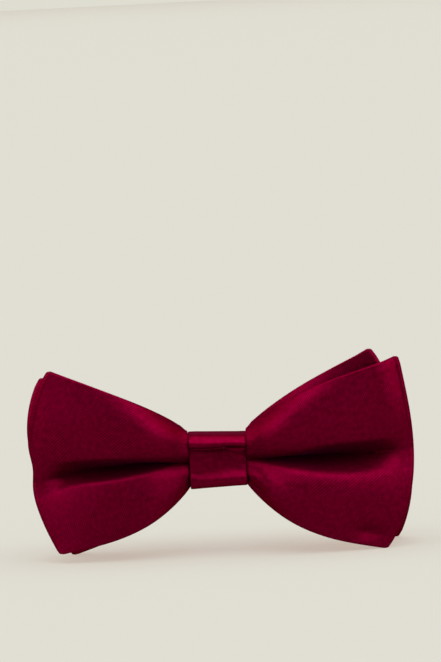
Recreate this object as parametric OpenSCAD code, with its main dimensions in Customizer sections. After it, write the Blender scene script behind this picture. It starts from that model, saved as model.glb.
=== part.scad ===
// Pre-tied satin bow tie: two pleated bows, one in front of the other, bound at
// the waist, wrapped by a knot, and carried on an adjustable neckband. The
// neckband is unhooked and folded to and fro behind the bows.
// Millimetres. +X is to the viewer's right, +Y is towards the wearer, +Z is up.
// The origin is on the table, at the centre of the footprint.

/* [Bows] */
// Width from wing edge to wing edge
bow_w = 120; // [112:1:128]
// Height of a wing at its outer corners
bow_h = 60; // [56:1:64]
// Depth of the two pleat swells on the front of the front bow
swell = 6; // [3:0.5:7]
// Thickness of a bow strip: satin, interlining and satin
strip_t = 1.3; // [1.2:0.05:1.4]

/* [Knot] */
// Width of the knot, along the neck
knot_w = 18; // [16:1:20]
// Height of the knot
knot_h = 16.6; // [16.4:0.1:18]
// Thickness of the knot wrap
knot_t = 1.4; // [1.3:0.05:1.4]

/* [Neckband] */
// Width of the neckband
band_w = 10; // [9:0.5:12]
// Thickness of the neckband
band_t = 1; // [0.9:0.05:1]
// Distance from the knot's middle to the outer folds of the stored band
fold_out = 52; // [50:1:53]
// Distance from the knot's middle to the inner folds
fold_in = 5; // [4:0.5:14]

/* [Hardware] */
// Radius of the wire that the slider, the eye and the hook are made of
wire_r = 0.6; // [0.5:0.05:0.6]
// Place of the slider along the band, at rest
slider_x = 34; // [32:1:36]
// Length of the slider
slider_len = 11; // [9:0.5:12]
// Length of the eye, from its strap bar to its far bar
eye_len = 8.5; // [8:0.5:9]

/* [Hidden] */
$fn = 32;

satin = [0.42, 0.0, 0.13];
lining = [0.88, 0.87, 0.83];
thread = [0.3, 0.0, 0.09];
nickel = [0.78, 0.78, 0.8];

// Small space between parts that lie against each other.
slack = 0.05;
// Space between parts that move against each other.
running_gap = 0.3;
// Thickness of one layer of satin.
satin_t = 0.35;

// ---- bows ----

// One wing is a list of: its side, its top corner and its bottom corner from the knot's
// middle with x taken outwards, how far its outer edge bulges and how much more of that
// is in the upper half, the arch of its top and bottom outlines, and the height of its
// pleat's end. A corner's y is how far it leans from the rest of the wing.
function sized_corner(c) = [c[0] * bow_w / 120, c[1], c[2] * bow_h / 60];
function sized_wing(w) = [w[0], sized_corner(w[1]), sized_corner(w[2]), w[3], w[4], w[5], w[6]];
front_wings = [
    sized_wing([-1, [50.7, -4, 30], [50.3, -6, -26.5], 7.2, 0.5, [3.2, 4.6], -5]),
    sized_wing([1, [56.2, -4, 29], [51.4, -6, -29.5], 6.4, -0.4, [4.7, 5], 3])
];
back_wings = [
    sized_wing([-1, [53.4, 2, 26], [47, 4, -29.5], 7, 0.3, [2.6, 3.4], -5]),
    sized_wing([1, [49, 7, 30], [55.6, 15, -29.5], 7.5, 0, [2.4, 3.8], 3])
];
// The knot's middle in the row frame. The height puts the wing tips on the table.
knot_at = [-1, -1.5, 29.5 * bow_h / 60];
// Half height of a bow where the knot holds it, and where it comes out of the knot.
waist_h = knot_h / 2 - knot_t - strip_t / 2 - 0.4;
shoulder_h = knot_h / 2 - 0.3;
// Distance from the knot's middle at which a bow starts to spread.
spread_x = knot_w / 2 - 0.1;
// Swell of every panel inside the knot, and at the wing's edge.
swell_ends = [1.3, 1.5];
// Half the distance between the two panels of one bow at the wing's edge.
panel_gap = 1;
// Each panel, front then rear: its y in the knot and at the wing's edge, how much further
// forward it comes half way out, and how much more it swells there.
front_panels = [[-3.7, -4.7, 1.6, swell], [-1.7, -2.7, 1.1, swell - 0.7]];
back_panels = [[0.3, -0.3, 0.2, swell - 1.5], [2.3, 1.7, 0, swell - 2]];
// Rows up the strip, from bottom edge to top edge.
rows = [for (k = [-5 : 5]) k / 5];
// Columns along one panel, from the knot's middle to the start of the end fold.
columns = [0.15, 0.18, 0.33, 0.5, 0.67, 0.84, 1];
// Angles round the end fold.
turns = [45, 90, 135];

function mix(pair, t) = pair[0] + (pair[1] - pair[0]) * t;
// Share of the way out from where the bow spreads to the wing's edge.
function open_share(t) = max(0, (t - columns[0]) / (1 - columns[0]));
// Convex arch of an outline between the knot and the corner, highest near the knot.
function arch(height, t) = height * sin(180 * pow(open_share(t), 0.75));
function half_height(w, t, up) =
    let (corner = up ? w[1][2] : -w[2][2])
    t <= columns[0] ? waist_h
        : mix([shoulder_h, corner], open_share(t)) + arch(w[5][up ? 0 : 1], t);
// Outer edge of the wing, from s = -1 at the bottom corner to s = 1 at the top one.
function edge_x(w, s) =
    mix([w[2][0], w[1][0]], (s + 1) / 2) + w[3] * (1 - s * s) * (1 + w[4] * s);
function row_z(w, t, s) =
    s * half_height(w, t, s > 0) + (1 - abs(s)) * w[6] * pow(open_share(t), 2);
function lean(w, t, s) = w[s > 0 ? 1 : 2][1] * pow(open_share(t), 2) * pow(abs(s), 3);
// Forward swell of a panel: small in the knot, largest half way out, small at the edge.
function swell_y(extra, t, s) = sin(180 * abs(s))
    * (mix(swell_ends, open_share(t)) + extra * sin(180 * open_share(t)));

function column_x(w, t, s) = t < columns[0] ? spread_x * t / columns[0]
    : mix([spread_x, edge_x(w, s) - panel_gap], open_share(t));

// A point on a panel's middle surface.
function panel_point(w, panel, t, s) = [
    w[0] * column_x(w, t, s),
    mix(panel, t) - panel[2] * sin(180 * open_share(t)) + lean(w, t, s)
        - swell_y(panel[3], t, s),
    row_z(w, t, s)
];
// A point on the end fold, which joins the front panel's edge to the rear panel's.
function fold_point(w, panels, a, s) = [
    w[0] * (edge_x(w, s) - panel_gap + panel_gap * sin(a)),
    panels[0][1] + panel_gap * (1 - cos(a)) + lean(w, 1, s) - swell_y(0, 1, s),
    row_z(w, 1, s)
];
// One wing's columns, from its front panel round the end fold to its rear panel.
function wing_columns(w, panels) = concat(
    [for (t = columns) [for (s = rows) panel_point(w, panels[0], t, s)]],
    [for (a = turns) [for (s = rows) fold_point(w, panels, a, s)]],
    [for (t = reversed(columns)) [for (s = rows) panel_point(w, panels[1], t, s)]]
);
function reversed(list) = [for (k = [len(list) - 1 : -1 : 0]) list[k]];
// The two ends of a strip meet behind the waist, with this share of a panel between them.
end_share = 0.006;
// The whole strip: rear middle, left wing, front middle, right wing, rear middle.
function strip_grid(wings, panels) = concat(
    [[for (s = rows) panel_point(wings[0], panels[1], end_share, s)]],
    reversed(wing_columns(wings[0], panels)),
    [[for (s = rows) panel_point(wings[0], panels[0], 0, s)]],
    wing_columns(wings[1], panels),
    [[for (s = rows) panel_point(wings[1], panels[1], end_share, s)]]
);

function unit(v) = v / norm(v);
function clamp_at(k, n) = min(max(k, 0), n - 1);
// Unit normal of the grid at column j and row i. It is level along the two long edges,
// so the strip's bottom edge stands flat on the table.
function grid_normal(g, j, i) =
    let (along = g[clamp_at(j + 1, len(g))][i] - g[clamp_at(j - 1, len(g))][i],
        up = g[j][clamp_at(i + 1, len(rows))] - g[j][clamp_at(i - 1, len(rows))],
        n = unit(cross(along, up)),
        edge = i == 0 || i == len(rows) - 1)
    edge ? unit([n[0], n[1], 0]) : n;
// The grid's point, drawn in from the long edges by inset.
function inset_point(g, j, i, inset) =
    let (p = g[j][i], q = i == 0 ? g[j][1] : g[j][len(rows) - 2])
    (i == 0 || i == len(rows) - 1) && inset > 0 ? p + inset * unit(q - p) : p;
// Closed ring of points round the strip at column j.
function ring(g, j, half_t, inset) = concat(
    [for (i = [0 : len(rows) - 1])
        inset_point(g, j, i, inset) + half_t * grid_normal(g, j, i)],
    [for (i = [len(rows) - 1 : -1 : 0])
        inset_point(g, j, i, inset) - half_t * grid_normal(g, j, i)]
);

// Faces of a skin through count rings of size points. flip turns them inside out.
function skin_faces(count, size, base, flip) = [
    for (j = [0 : count - 2]) for (k = [0 : size - 1]) for (half = [0, 1])
        let (a = base + j * size + k, b = base + j * size + (k + 1) % size,
            c = b + size, d = a + size,
            f = half == 0 ? [a, b, c] : [a, c, d])
        flip ? reversed(f) : f
];
// Triangles that close a strip's end, across the ring.
function cap_faces(size, base, flip) = [
    for (k = [0 : size / 2 - 2]) for (half = [0, 1])
        let (a = base + k, b = base + k + 1,
            c = base + size - 2 - k, d = base + size - 1 - k,
            f = half == 0 ? [a, c, b] : [a, d, c])
        flip ? reversed(f) : f
];
// Triangles between an outer ring and an inner ring at a strip's open end.
function rim_faces(size, outer, inner, flip) = [
    for (k = [0 : size - 1]) for (half = [0, 1])
        let (m = (k + 1) % size,
            f = half == 0 ? [outer + k, inner + m, outer + m]
                : [outer + k, inner + k, inner + m])
        flip ? reversed(f) : f
];

// Satin tube of a bow, open at its two ends behind the waist.
module satin_strip(g) {
    size = 2 * len(rows);
    count = len(g);
    inner = size * count;
    points = concat(
        [for (j = [0 : count - 1]) each ring(g, j, strip_t / 2, 0)],
        [for (j = [0 : count - 1]) each ring(g, j, strip_t / 2 - satin_t, satin_t)]
    );
    faces = concat(
        skin_faces(count, size, 0, false),
        skin_faces(count, size, inner, true),
        rim_faces(size, 0, inner, false),
        rim_faces(size, inner - size, 2 * inner - size, true)
    );
    color(satin) polyhedron(points, faces);
}
// Stiff interlining that fills the tube.
module interlining_strip(g) {
    size = 2 * len(rows);
    count = len(g);
    points = [for (j = [0 : count - 1])
        each ring(g, j, strip_t / 2 - satin_t - slack, satin_t + 0.2)];
    faces = concat(
        skin_faces(count, size, 0, false),
        cap_faces(size, 0, false),
        cap_faces(size, (count - 1) * size, true)
    );
    color(lining) polyhedron(points, faces);
}

front_grid = strip_grid(front_wings, front_panels);
back_grid = strip_grid(back_wings, back_panels);
module front_bow_satin() { satin_strip(front_grid); }
module front_bow_interlining() { interlining_strip(front_grid); }
module back_bow_satin() { satin_strip(back_grid); }
module back_bow_interlining() { interlining_strip(back_grid); }

// ---- knot ----

// Front and rear of the knot, outside.
knot_y = [-8, 6.3];
knot_r = 2.4;

// Rounded rectangle in the plane of the knot's section: y across, z up.
module rounded(y0, y1, half_z, r) {
    translate([y0 + r, -half_z]) square([y1 - y0 - 2 * r, 2 * half_z]);
    translate([y0, r - half_z]) square([y1 - y0, 2 * (half_z - r)]);
    for (y = [y0 + r, y1 - r]) for (z = [r - half_z, half_z - r])
        translate([y, z]) circle(r);
}
// A pleat runs across the knot's front at this height. The wrap below it lies this much
// further in.
pleat_z = 4.3;
pleat_step = 0.5;
// The knot's section, drawn in by depth. Its lower front is behind the pleat.
module knot_section(depth) {
    y1 = knot_y[1] - depth;
    half_z = knot_h / 2 - depth;
    r = knot_r - depth;
    rounded(knot_y[0] + pleat_step + depth, y1, half_z, r);
    intersection() {
        rounded(knot_y[0] + depth, y1, half_z, r);
        translate([knot_y[0], pleat_z + depth]) square([y1 - knot_y[0], half_z]);
    }
}
// The part of the section between two depths.
module knot_ring(outer, inner) {
    difference() {
        knot_section(outer);
        knot_section(inner);
    }
}
// Stands a y-z section up and gives it a length along x, from x0.
module along_x(x0, length) {
    translate([x0, 0, 0]) rotate([90, 0, 90]) linear_extrude(length) children();
}
hem = 4;
lip_t = 0.4;
// Satin wrap: the outer layer, turned in at both sides over the interlining.
module knot_satin() {
    color(satin) {
        along_x(-knot_w / 2, knot_w) knot_ring(0, lip_t);
        for (side = [-1, 1]) {
            along_x(side < 0 ? -knot_w / 2 : knot_w / 2 - lip_t, lip_t)
                knot_ring(0, knot_t);
            along_x(side < 0 ? -knot_w / 2 : knot_w / 2 - hem, hem)
                knot_ring(knot_t - lip_t, knot_t);
        }
    }
}
module knot_interlining() {
    inset = lip_t + slack;
    color(lining) along_x(inset - knot_w / 2, knot_w - 2 * inset)
        knot_ring(inset, knot_t - inset);
}
stitch_r = 0.2;
// Short stitches across the seam that closes the wrap at the rear of the knot.
module knot_closing_stitches() {
    stitch_len = 1.6;
    pitch = 2.4;
    last_x = 6;
    color(thread) for (x = [-last_x : pitch : last_x])
        translate([x, knot_y[1] + stitch_r, -stitch_len / 2])
            cylinder(h = stitch_len, r = stitch_r);
}
// Turns of thread round the two bows' waists, inside the knot.
module waist_binding_thread() {
    inside = [-5.75, 3];
    half_z = waist_h + strip_t / 2 + slack;
    turn_t = 0.3;
    corner_r = 0.5;
    last_x = 2;
    color(thread) for (x = [-last_x : last_x]) along_x(x - turn_t / 2, turn_t) difference() {
        rounded(inside[0] - turn_t, inside[1] + turn_t, half_z + turn_t, corner_r + turn_t);
        rounded(inside[0], inside[1], half_z, corner_r);
    }
}

// ---- neckband ----

// Height of the band's middle. The band lies low in the knot, so that the knot and the
// wings hide its fittings.
band_z = band_w / 2 + 0.4 + knot_t - knot_h / 2;
// The y of each of the four runs of folded band, from the knot to the rear.
runs = [4.1, 7.7, 9.8, 12.6];
// The y of the strap that returns over the slider and the eye, and of their bars.
return_y = 15.8;
bar_y = (runs[3] + return_y) / 2;
// Place of the eye's strap bar and of the hook's strap bar.
eye_x = 10;
hook_x = -16;
// The adjuster's loop round the eye's bar ends here, and the fixed band starts here.
// The space between them is taken up when the slider moves out.
loop_x = 13;
feed_x = 17.8;
// Length of a turned-back strap end.
tail_len = 9;

// A straight run between two x values, t thick.
module run_2d(x0, x1, y, t) { translate([x0, y - t / 2]) square([x1 - x0, t]); }
// A half turn that opens towards -side, centred at x, from y0 to y1, t thick.
module turn_2d(x, y0, y1, side, t) {
    r = (y1 - y0) / 2;
    translate([x, (y0 + y1) / 2]) intersection() {
        difference() {
            circle(r + t / 2);
            circle(r - t / 2);
        }
        translate([side > 0 ? 0 : -2 * r, -2 * r]) square([2 * r, 4 * r]);
    }
}
// The folded band seen from above. end_in shortens it at both ends.
module band_2d(t, end_in) {
    for (side = [-1, 1]) {
        mirror([side < 0 ? 1 : 0, 0]) {
            run_2d(-0.01, fold_out, runs[0], t);
            turn_2d(fold_out, runs[0], runs[1], 1, t);
            run_2d(fold_in, fold_out, runs[1], t);
            turn_2d(fold_in, runs[1], runs[2], -1, t);
            run_2d(fold_in, fold_out, runs[2], t);
            turn_2d(fold_out, runs[2], runs[3], 1, t);
        }
    }
    run_2d(feed_x + end_in, fold_out, runs[3], t);
    run_2d(-fold_out, hook_x, runs[3], t);
    turn_2d(hook_x, runs[3], return_y, 1, t);
    run_2d(hook_x - tail_len + end_in, hook_x, return_y, t);
}
// Gives a plan shape the height of the band, less edge_in at its top and bottom.
module band_height(edge_in) {
    translate([0, 0, band_z - band_w / 2 + edge_in])
        linear_extrude(band_w - 2 * edge_in) children();
}
band_skin = 0.25;
module neckband_satin() {
    color(satin) difference() {
        band_height(0) band_2d(band_t, 0);
        band_height(band_skin) band_2d(band_t - 2 * band_skin, -1);
    }
}
module neckband_interlining() {
    color(lining) band_height(band_skin + slack)
        band_2d(band_t - 2 * band_skin - 2 * slack, 0.2);
}
// Rows of thread that close a turned-back strap end, on its rear face.
module bartack(x) {
    tack = band_w - 2;
    pitch = 0.8;
    color(thread) for (k = [0 : 3])
        translate([x + k * pitch, return_y + band_t / 2 + stitch_r, band_z - tack / 2])
            cylinder(h = tack, r = stitch_r);
}
module hook_bartack() { bartack(hook_x - 7); }
module slider_bartack() { bartack(slider_x - 7); }

// Strap from the eye back to the slider's middle bar, round it, and sewn to itself.
leg_t = 0.5;
slider_bar_y = runs[3] + band_t / 2 + running_gap + leg_t + slack + wire_r;
module adjuster_return() {
    y_in = slider_bar_y - wire_r - slack - leg_t;
    y_out = return_y + band_t / 2;
    seam_y = return_y - band_t / 2;
    bend_r = y_out - slider_bar_y;
    bend_len = 4;
    color(satin) band_height(0) {
        run_2d(eye_x, slider_x, return_y, band_t);
        translate([slider_x, slider_bar_y]) intersection() {
            difference() {
                circle(bend_r);
                circle(wire_r + slack);
            }
            translate([0, y_in - slider_bar_y]) square([2 * bend_r, y_out - y_in]);
        }
        polygon([
            [slider_x, y_in], [slider_x, y_in + leg_t],
            [slider_x - bend_len, seam_y], [slider_x - tail_len, seam_y],
            [slider_x - tail_len, seam_y - leg_t], [slider_x - bend_len, seam_y - leg_t]
        ]);
    }
}
// Strap that feeds round the eye's bar when the slider is moved.
module adjuster_loop() {
    color(satin) band_height(0) {
        run_2d(eye_x, loop_x, runs[3], band_t);
        turn_2d(eye_x, runs[3], return_y, -1, band_t);
    }
}

// ---- hardware ----

// Half height of the hardware's frames, to the middle of their side wires.
rail_z = band_w / 2 + running_gap + wire_r;
module bar_z(x, y) {
    translate([x, y, band_z - rail_z]) cylinder(h = 2 * rail_z, r = wire_r);
}
module rails_x(x0, x1, y) {
    for (z = [-rail_z, rail_z]) {
        translate([x0, y, band_z + z]) rotate([0, 90, 0])
            cylinder(h = x1 - x0, r = wire_r);
        for (x = [x0, x1]) translate([x, y, band_z + z]) sphere(wire_r);
    }
}
// Wire rectangle in the band's plane.
module wire_frame(x0, x1, y) {
    bar_z(x0, y);
    bar_z(x1, y);
    rails_x(x0, x1, y);
}
// Slider: a wire rectangle in front of the band, with a raised middle bar behind it.
module slider_frame() {
    bars_y = runs[3] - band_t / 2 - running_gap - wire_r;
    x0 = slider_x - slider_len / 2;
    // The uprights are a little thinner than the wire, and a bead joins them to the bar.
    upright_r = 0.8 * wire_r;
    joint_r = 1.15 * wire_r;
    color(nickel) {
        wire_frame(x0, x0 + slider_len, bars_y);
        bar_z(slider_x, slider_bar_y);
        for (z = [-rail_z, rail_z]) {
            translate([slider_x, bars_y, band_z + z]) rotate([-90, 0, 0])
                cylinder(h = slider_bar_y - bars_y, r = upright_r);
            translate([slider_x, slider_bar_y, band_z + z]) sphere(joint_r);
        }
    }
}
module eye_ring() { color(nickel) wire_frame(eye_x - eye_len, eye_x, bar_y); }

// Hook: a wire frame for the strap, and a flat tongue that curls back on itself.
tongue_w = 7;
module hook() {
    frame_len = 6;
    tongue_x = hook_x + frame_len;
    tongue_len = 5;
    curl_r = 1.2;
    curl_len = 3;
    t = 0.8;
    color(nickel) {
        wire_frame(hook_x, tongue_x, bar_y);
        translate([0, 0, band_z - tongue_w / 2]) linear_extrude(tongue_w) {
            run_2d(tongue_x, tongue_x + tongue_len, bar_y, t);
            turn_2d(tongue_x + tongue_len, bar_y, bar_y + 2 * curl_r, 1, t);
            run_2d(tongue_x + tongue_len - curl_len, tongue_x + tongue_len,
                bar_y + 2 * curl_r, t);
        }
    }
}

module place() { translate(knot_at) children(); }

place() front_bow_satin();
place() front_bow_interlining();
place() back_bow_satin();
place() back_bow_interlining();
place() waist_binding_thread();
place() knot_satin();
place() knot_interlining();
place() knot_closing_stitches();
place() neckband_satin();
place() neckband_interlining();
place() hook_bartack();
place() slider_frame();
place() adjuster_return();
place() slider_bartack();
place() adjuster_loop();
place() eye_ring();
place() hook();
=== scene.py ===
"""Looks of the ready-tied double bow tie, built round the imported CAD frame."""

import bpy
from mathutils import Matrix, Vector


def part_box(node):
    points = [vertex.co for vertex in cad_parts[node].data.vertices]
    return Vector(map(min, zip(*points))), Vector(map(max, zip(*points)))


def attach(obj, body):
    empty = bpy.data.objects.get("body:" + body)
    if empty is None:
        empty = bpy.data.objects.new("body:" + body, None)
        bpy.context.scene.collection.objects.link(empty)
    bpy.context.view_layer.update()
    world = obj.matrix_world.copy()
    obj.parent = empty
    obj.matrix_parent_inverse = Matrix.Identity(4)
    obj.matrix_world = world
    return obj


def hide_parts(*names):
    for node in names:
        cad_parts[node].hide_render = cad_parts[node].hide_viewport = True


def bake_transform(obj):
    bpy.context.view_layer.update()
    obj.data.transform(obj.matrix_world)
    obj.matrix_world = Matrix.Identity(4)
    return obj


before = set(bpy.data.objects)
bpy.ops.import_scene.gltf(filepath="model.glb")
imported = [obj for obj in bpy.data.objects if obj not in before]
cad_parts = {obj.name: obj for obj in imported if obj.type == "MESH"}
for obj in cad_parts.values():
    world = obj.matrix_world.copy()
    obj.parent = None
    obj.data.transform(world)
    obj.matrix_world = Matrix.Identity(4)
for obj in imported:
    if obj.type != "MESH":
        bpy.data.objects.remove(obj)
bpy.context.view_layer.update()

import math

import bmesh
import bpy
import numpy as np
from mathutils import Matrix, Vector

# All shapes below are in millimetres from the knot's middle: +X right, +Y towards the
# wearer, +Z up. to_row() takes them into the row frame, in metres.
MM = 0.001
KNOT_FRONT = -8.0
KNOT_REAR = 6.3
knot_low, knot_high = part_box("knot_satin")
KNOT_AT = np.array([
    (knot_low[0] + knot_high[0]) / 2,
    knot_low[1] - KNOT_FRONT * MM,
    (knot_low[2] + knot_high[2]) / 2,
])
KNOT_W = (knot_high[0] - knot_low[0]) / MM
KNOT_H = (knot_high[2] - knot_low[2]) / MM


def to_row(points):
    return KNOT_AT + np.asarray(points, float) * MM


# ---------------------------------------------------------------- camera

# The frame is 441 x 662, and the bow is 120 mm of its 137.5 mm width.
FRAME_WIDTH = 137.5
CAMERA_DISTANCE = 1400.0
CAMERA_PITCH = math.radians(6.4)
CAMERA_ROLL = math.radians(2.8)
# Where the knot's front stands from the middle of the frame.
KNOT_IN_FRAME = (-0.8, -40.3)
SENSOR_WIDTH = 36


def make_camera():
    data = bpy.data.cameras.new("camera")
    data.sensor_fit = "HORIZONTAL"
    data.sensor_width = SENSOR_WIDTH
    data.lens = SENSOR_WIDTH * CAMERA_DISTANCE / FRAME_WIDTH
    data.clip_end = 100
    forward = Vector((0, math.cos(CAMERA_PITCH), -math.sin(CAMERA_PITCH)))
    level_up = Vector((0, math.sin(CAMERA_PITCH), math.cos(CAMERA_PITCH)))
    # The camera leans to the left, so the bow's right wing stands higher in the frame.
    right = Matrix.Rotation(CAMERA_ROLL, 3, forward) @ Vector((1, 0, 0))
    up = Matrix.Rotation(CAMERA_ROLL, 3, forward) @ level_up
    knot = Vector(to_row([0, KNOT_FRONT, 0]))
    place = knot - MM * (
        right * KNOT_IN_FRAME[0] + up * KNOT_IN_FRAME[1] + forward * CAMERA_DISTANCE
    )
    turn = Matrix((right, up, -forward)).transposed().to_4x4()
    camera = bpy.data.objects.new("camera", data)
    camera.matrix_world = Matrix.Translation(place) @ turn
    bpy.context.scene.collection.objects.link(camera)
    bpy.context.scene.camera = camera


make_camera()


# ---------------------------------------------------------------- mesh helpers


def add_object(name, points, faces, uvs):
    """A smooth mesh object from points in knot millimetres, with one UV pair each."""
    mesh = bpy.data.meshes.new(name)
    mesh.from_pydata(to_row(points).tolist(), [], faces)
    layer = mesh.uv_layers.new(name="cloth")
    order = np.empty(len(mesh.loops), dtype=np.int32)
    mesh.loops.foreach_get("vertex_index", order)
    layer.data.foreach_set("uv", uvs[order].ravel())
    solid = bmesh.new()
    solid.from_mesh(mesh)
    bmesh.ops.recalc_face_normals(solid, faces=solid.faces)
    solid.to_mesh(mesh)
    solid.free()
    mesh.polygons.foreach_set("use_smooth", [True] * len(mesh.polygons))
    piece = bpy.data.objects.new(name, mesh)
    bpy.context.scene.collection.objects.link(piece)
    return piece


def ring_faces(rings, size, base=0, close=False):
    """Quads through rings of size points each."""
    faces = []
    for j in range(rings if close else rings - 1):
        a, b = base + j * size, base + (j + 1) % rings * size
        for k in range(size):
            m = (k + 1) % size
            faces.append((a + k, a + m, b + m, b + k))
    return faces


def rim_faces(size, outer, inner):
    """Quads between two rings that start at the points outer and inner."""
    return [
        (outer + k, outer + (k + 1) % size, inner + (k + 1) % size, inner + k)
        for k in range(size)
    ]


def add_tube(name, outer, inner):
    """A hollow tube with open ends, from the rings and the UVs of its two faces."""
    (outer_rings, outer_uvs), (inner_rings, inner_uvs) = outer, inner
    count, size = outer_rings.shape[:2]
    base, last = count * size, (count - 1) * size
    faces = ring_faces(count, size) + ring_faces(count, size, base)
    faces += rim_faces(size, 0, base) + rim_faces(size, last, base + last)
    points = np.concatenate([outer_rings.reshape(-1, 3), inner_rings.reshape(-1, 3)])
    uvs = np.concatenate([outer_uvs.reshape(-1, 2), inner_uvs.reshape(-1, 2)])
    return add_object(name, points, faces, uvs)


def add_solid(name, rings, uvs):
    """A solid through rings of points, closed at both ends."""
    count, size = rings.shape[:2]
    faces = ring_faces(count, size)
    faces += [tuple(range(size)), tuple(range((count - 1) * size, count * size))]
    return add_object(name, rings.reshape(-1, 3), faces, uvs.reshape(-1, 2))


def run_length(points):
    """Distance along a line of points, from its start."""
    steps = np.linalg.norm(np.diff(points, axis=0), axis=1)
    return np.concatenate([[0], np.cumsum(steps)])


def cloth_uvs(along, across):
    """UVs in metres of cloth, so that a weave has the same pitch on every piece."""
    return np.stack(np.meshgrid(along, across, indexing="ij"), axis=-1) * MM


def unit(vectors):
    length = np.linalg.norm(vectors, axis=-1, keepdims=True)
    return vectors / np.maximum(length, 1e-9)


def smooth_step(x):
    x = np.clip(x, 0, 1)
    return x * x * (3 - 2 * x)


def bump_at(distance, radius):
    return np.exp(-((distance / radius) ** 2))


# ---------------------------------------------------------------- bows

# Thickness of the satin and of the whole flat tube, and half of the tube's width.
SATIN_T = 0.35
STRIP_T = 1.2
HALF_STRIP = 30.0
# The fold at a wing's end stands out this far past its two panels.
FOLD_R = 1.0
# Half heights of the strip in the knot and where it comes out of it, and x there.
WAIST_H = KNOT_H / 2 - 2.55
SHOULDER_H = KNOT_H / 2 - 0.4
SPREAD_X = KNOT_W / 2 - 0.1
# Shares of the way from the bow's middle to a wing's end: the knot's side, and the
# strip's own end.
KNOT_SHARE = 0.15
END_SHARE = 0.006
# The strip's folded edges are pressed thinner over this width, by this share.
PRESSED_WIDTH = 3.0
PRESSED_THINNER = 0.4
# Below 1, this puts the highest place of an outline's arch nearer the knot.
ARCH_POWER = 0.75


class Wing:
    """One side of a bow. The corners top and bottom are (x outwards, lean in y, z).
    bulge and skew shape the wing's end between them, and arches is how far the top and
    the bottom outline swell. pleat_z and pleat_w have the height and the half width of
    the pleat at the knot, at each quarter of the way out, and at the edge. lips has the
    lengths over which the cloth above and below the pleat turns out of it, and fullness
    how full the lobes there are. shoulder is how far the top slopes back near the knot,
    and the share of the way out where that ends. roll_x is where the wing's end starts
    to roll back, half way up, and how that changes upwards. Each crease has its ends (x
    outwards, z), its depth, which is below 0 for a swelling, and its width. pinch is how
    far the edge is drawn in above the pleat's end."""

    def __init__(
        self, side, top, bottom, bulge, skew, arches, pleat_z, pleat_w, lips, fullness,
        shoulder, roll_x, creases=(), pinch=0.0
    ):
        self.side, self.top, self.bottom = side, top, bottom
        self.bulge, self.skew, self.arches = bulge, skew, arches
        self.pleat_z, self.pleat_w, self.roll_x = pleat_z, pleat_w, roll_x
        self.lips, self.fullness = lips, fullness
        self.shoulder, self.creases, self.pinch = shoulder, creases, pinch

    def edge_x(self, s):
        straight = self.bottom[0] + (self.top[0] - self.bottom[0]) * (s + 1) / 2
        return straight + self.bulge * (1 - s * s) * (1 + self.skew * s)

    def outline(self, opening, upper):
        """Height of the top or bottom outline above or below the knot's middle."""
        corner = self.top[2] if upper else -self.bottom[2]
        arch = self.arches[0 if upper else 1] * np.sin(math.pi * opening**ARCH_POWER)
        return SHOULDER_H + (corner - SHOULDER_H) * opening + arch

    def pleat_height(self, opening):
        return smooth_curve(opening, self.pleat_z)

    def lean(self, opening, s):
        corner = np.where(s > 0, self.top[1], self.bottom[1])
        return corner * opening**2 * np.abs(s) ** 3


def smooth_curve(at, values):
    """A smooth curve through evenly spaced values over 0 to 1."""
    count = len(values) - 1
    place = np.clip(at, 0, 1) * count
    k = np.clip(np.floor(place).astype(int), 0, count - 1)
    part = place - k
    values = np.asarray(values, float)
    slope = np.gradient(values)
    square, cube = part**2, part**3
    return (
        values[k] * (2 * cube - 3 * square + 1)
        + values[k + 1] * (3 * square - 2 * cube)
        + slope[k] * (cube - 2 * square + part)
        + slope[k + 1] * (cube - square)
    )


class Panel:
    """One layer of a bow: y of its pleat in the knot and at the wing's edge, how much
    further forward that is half way out (below 0, further back), how deep the pleat is,
    the steepest slope of the lobes above and below it, the share of their swell that they
    keep, and how much lower the layer is half way out."""

    def __init__(self, waist_y, edge_y, forward, pleat_depth, steepest, swell, drop):
        self.waist_y, self.edge_y, self.forward = waist_y, edge_y, forward
        self.pleat_depth, self.steepest, self.swell = pleat_depth, steepest, swell
        self.drop = drop


# What the front and the back bow share on each side.
LEFT_SIDE = {
    "side": -1,
    "pleat_z": (-0.6, -0.2, -0.8, -1.8, -4.6),
    "pleat_w": (0.25, 2.3, 3.5, 4.2, 5.2),
    "lips": (3.0, 2.2),
    "shoulder": (2.8, 0.6),
}
RIGHT_SIDE = {
    "side": 1,
    "pleat_z": (-0.4, -0.2, -0.2, -0.4, 0.7),
    "pleat_w": (0.25, 2.1, 3.9, 4.7, 4.9),
    "lips": (3.0, 5.0),
    "shoulder": (2.6, 0.75),
}
LEFT_CREASES = (
    ((8.9, -7.2), (11.3, -8.6), 2.0, 1.0),
    ((46.5, -4.0), (53.6, -8.6), 0.5, 1.2),
)
RIGHT_CREASES = (
    ((9.4, -6.9), (14.6, -10.6), 2.3, 1.1),
    ((12.8, -4.2), (16.2, -8.4), 0.5, 1.0),
    ((9.4, -2.6), (13.5, -4.4), 0.4, 0.7),
    ((41.0, -23.4), (51.0, -24.8), 2.0, 2.3),
    ((18.0, -8.5), (50.0, -9.0), -0.8, 4.8),
)
FRONT_WINGS = (
    Wing(
        **LEFT_SIDE, top=(51.6, -4, 30.4), bottom=(50.3, -6, -26.5), bulge=7.8, skew=0.1,
        arches=(3.2, 4.6), fullness=(0.9, 0.4), roll_x=(54.5, -3.5),
        creases=LEFT_CREASES, pinch=1.4,
    ),
    Wing(
        **RIGHT_SIDE, top=(57.3, -4, 29.5), bottom=(51.4, -6, -29.5), bulge=6.4, skew=-0.4,
        arches=(4.5, 5), fullness=(0.9, 0.8), roll_x=(56.4, -6.5), creases=RIGHT_CREASES,
    ),
)
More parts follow.
